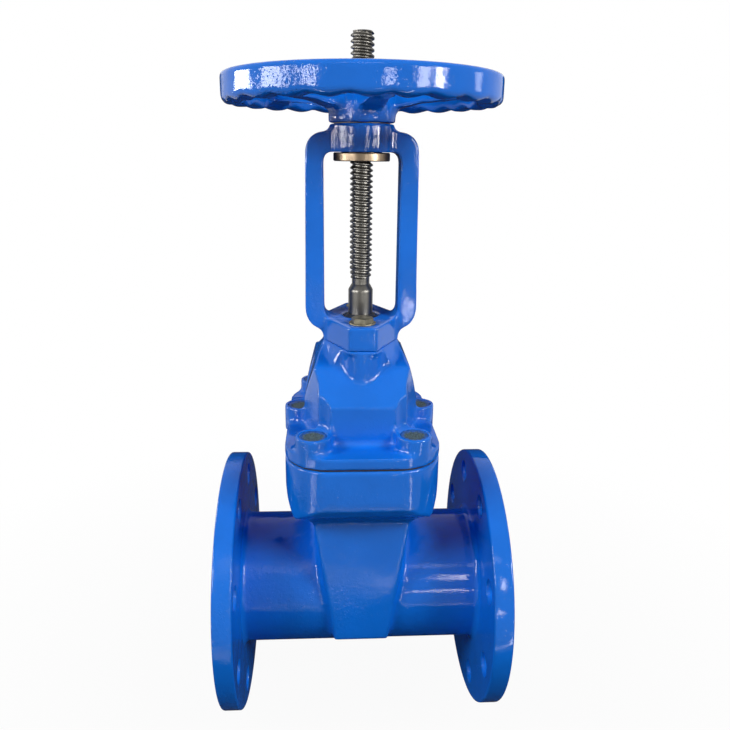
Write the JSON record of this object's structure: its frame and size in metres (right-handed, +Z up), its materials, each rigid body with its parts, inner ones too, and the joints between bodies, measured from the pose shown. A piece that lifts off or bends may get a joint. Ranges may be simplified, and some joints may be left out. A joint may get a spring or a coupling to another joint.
{
  "type": "rising stem gate valve",
  "caption": "Flanged rising-stem gate valve: cast body with wedge housing, bolted bonnet, open yoke, threaded stem that lifts a rubber-covered gate, and a spoked handwheel.",
  "frame": {"origin": "centre of the inlet flange's sealing face", "axes": "+X along the flow from inlet to outlet, +Z up the stem, +Y across the flow"},
  "size_m": [0.234, 0.22, 0.5595],
  "materials": {
    "blue_epoxy": "glossy fusion-bonded epoxy on ductile cast iron, slightly uneven",
    "black_rubber": "moulded black rubber",
    "stainless_steel": "turned stainless steel with rolled thread",
    "brass": "turned bronze-coloured brass",
    "zinc_steel": "zinc-plated steel, slightly yellow",
    "dark_steel": "plain dark steel",
    "sealing_wax": "dark grey sealing compound, grainy"
  },
  "bodies": {
    "valve_body": {"body": "blue_epoxy", "bonnet_gasket": "black_rubber", "bonnet": "blue_epoxy", "bonnet_screw_1": "dark_steel", "bonnet_screw_2": "dark_steel", "bonnet_screw_3": "dark_steel", "bonnet_screw_4": "dark_steel", "bonnet_screw_5": "dark_steel", "bonnet_screw_6": "dark_steel", "screw_wax_1": "sealing_wax", "screw_wax_2": "sealing_wax", "screw_wax_3": "sealing_wax", "screw_wax_4": "sealing_wax", "screw_wax_5": "sealing_wax", "screw_wax_6": "sealing_wax", "stem_bush": "brass", "wiper_ring": "black_rubber", "yoke": "blue_epoxy", "yoke_bolt_front": "zinc_steel", "yoke_bolt_rear": "zinc_steel", "yoke_washer_front": "zinc_steel", "yoke_washer_rear": "zinc_steel", "thrust_washer": "dark_steel"},
    "drive": {"drive_nut": "brass", "handwheel": "blue_epoxy", "lock_nut": "zinc_steel", "wheel_key": "dark_steel"},
    "stem_and_gate": {"stem": "stainless_steel", "gate": "black_rubber", "gate_nut": "brass"}
  },
  "joints": [
    {"name": "handwheel_turn", "type": "hinge", "parent": "valve_body", "child": "drive", "pos_m": [0.117, 0, 0.3975], "axis": [0, 0, 1], "range_deg": [0, 9360]},
    {"name": "stem_lift", "type": "slide", "parent": "valve_body", "child": "stem_and_gate", "axis": [0, 0, 1], "range_m": [0, 0.1041]}
  ],
  "couplings": [
    {"joint": "stem_lift", "follows": "handwheel_turn", "m_per_rad": 0.00063662}
  ]
}
